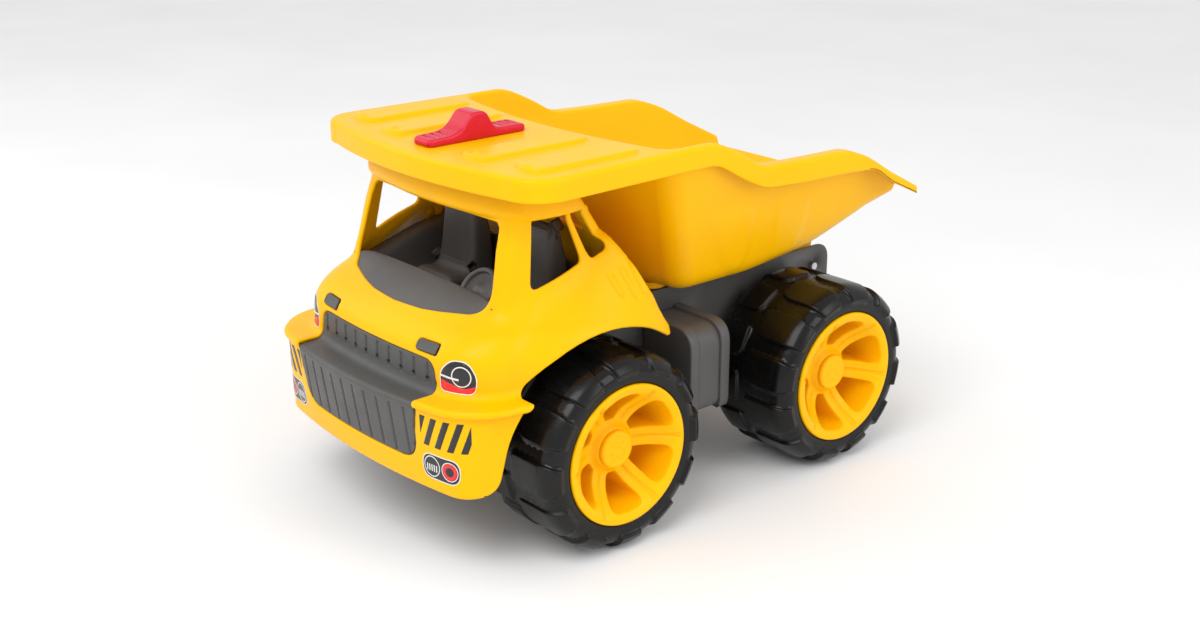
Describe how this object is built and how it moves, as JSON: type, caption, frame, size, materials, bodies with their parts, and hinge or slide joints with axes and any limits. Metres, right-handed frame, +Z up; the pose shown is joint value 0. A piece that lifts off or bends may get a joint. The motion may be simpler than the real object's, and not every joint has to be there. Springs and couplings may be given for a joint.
{
  "type": "toy dump truck",
  "caption": "Moulded toy dump truck with a forward cab, a load bed that tips about a rear pivot under a cab canopy, a sliding bed latch and free-rolling dished wheels.",
  "frame": {"origin": "on the ground, under the middle of the truck's length and width", "axes": "+Z up, -Y forwards, +X the truck's left side; left and right in the names are the driver's"},
  "size_m": [0.28, 0.443, 0.285],
  "materials": {
    "yellow_plastic": "glossy moulded",
    "grey_plastic": "satin moulded",
    "red_plastic": "glossy moulded",
    "black_plastic": "glossy moulded with raised tread blocks",
    "steel": "drawn wire and pan-head screws"
  },
  "bodies": {
    "chassis": {"chassis_frame": "grey_plastic", "cab_shell": "yellow_plastic", "grille": "grey_plastic", "dash_panel": "grey_plastic", "steering_wheel": "grey_plastic", "interior_tub": "grey_plastic", "front_axle": "steel", "rear_axle": "steel", "bed_pivot_rod": "steel", "marker_lamp_left": "grey_plastic", "marker_lamp_right": "grey_plastic", "seat_left": "grey_plastic", "seat_right": "grey_plastic", "side_tank_left": "grey_plastic", "side_tank_right": "grey_plastic", "cab_screw_front_left": "steel", "cab_screw_front_right": "steel", "cab_screw_rear_left": "steel", "cab_screw_rear_right": "steel", "tank_screw_left": "steel", "tank_screw_right": "steel", "push_nut_front_left": "steel", "push_nut_front_right": "steel", "push_nut_rear_left": "steel", "push_nut_rear_right": "steel"},
    "bed": {"dump_bed": "yellow_plastic"},
    "latch": {"latch_slider": "red_plastic", "latch_hook": "red_plastic", "latch_screw": "steel"},
    "wheel_front_left": {"tyre_front_left": "black_plastic", "rim_front_left": "yellow_plastic", "hub_cap_front_left": "yellow_plastic"},
    "wheel_front_right": {"tyre_front_right": "black_plastic", "rim_front_right": "yellow_plastic", "hub_cap_front_right": "yellow_plastic"},
    "wheel_rear_left": {"tyre_rear_left": "black_plastic", "rim_rear_left": "yellow_plastic", "hub_cap_rear_left": "yellow_plastic"},
    "wheel_rear_right": {"tyre_rear_right": "black_plastic", "rim_rear_right": "yellow_plastic", "hub_cap_rear_right": "yellow_plastic"}
  },
  "joints": [
    {"name": "bed_tip", "type": "hinge", "parent": "chassis", "child": "bed", "pos_m": [0, 0.176, 0.128], "axis": [-1, 0, 0], "range_deg": [0, 50]},
    {"name": "latch_slide", "type": "slide", "parent": "bed", "child": "latch", "axis": [0, -1, 0], "range_m": [0, 0.01]},
    {"name": "wheel_front_left_spin", "type": "hinge", "parent": "chassis", "child": "wheel_front_left", "pos_m": [0, -0.089, 0.07], "axis": [1, 0, 0], "continuous": true},
    {"name": "wheel_front_right_spin", "type": "hinge", "parent": "chassis", "child": "wheel_front_right", "pos_m": [0, -0.089, 0.07], "axis": [1, 0, 0], "continuous": true},
    {"name": "wheel_rear_left_spin", "type": "hinge", "parent": "chassis", "child": "wheel_rear_left", "pos_m": [0, 0.1275, 0.07], "axis": [1, 0, 0], "continuous": true},
    {"name": "wheel_rear_right_spin", "type": "hinge", "parent": "chassis", "child": "wheel_rear_right", "pos_m": [0, 0.1275, 0.07], "axis": [1, 0, 0], "continuous": true}
  ]
}
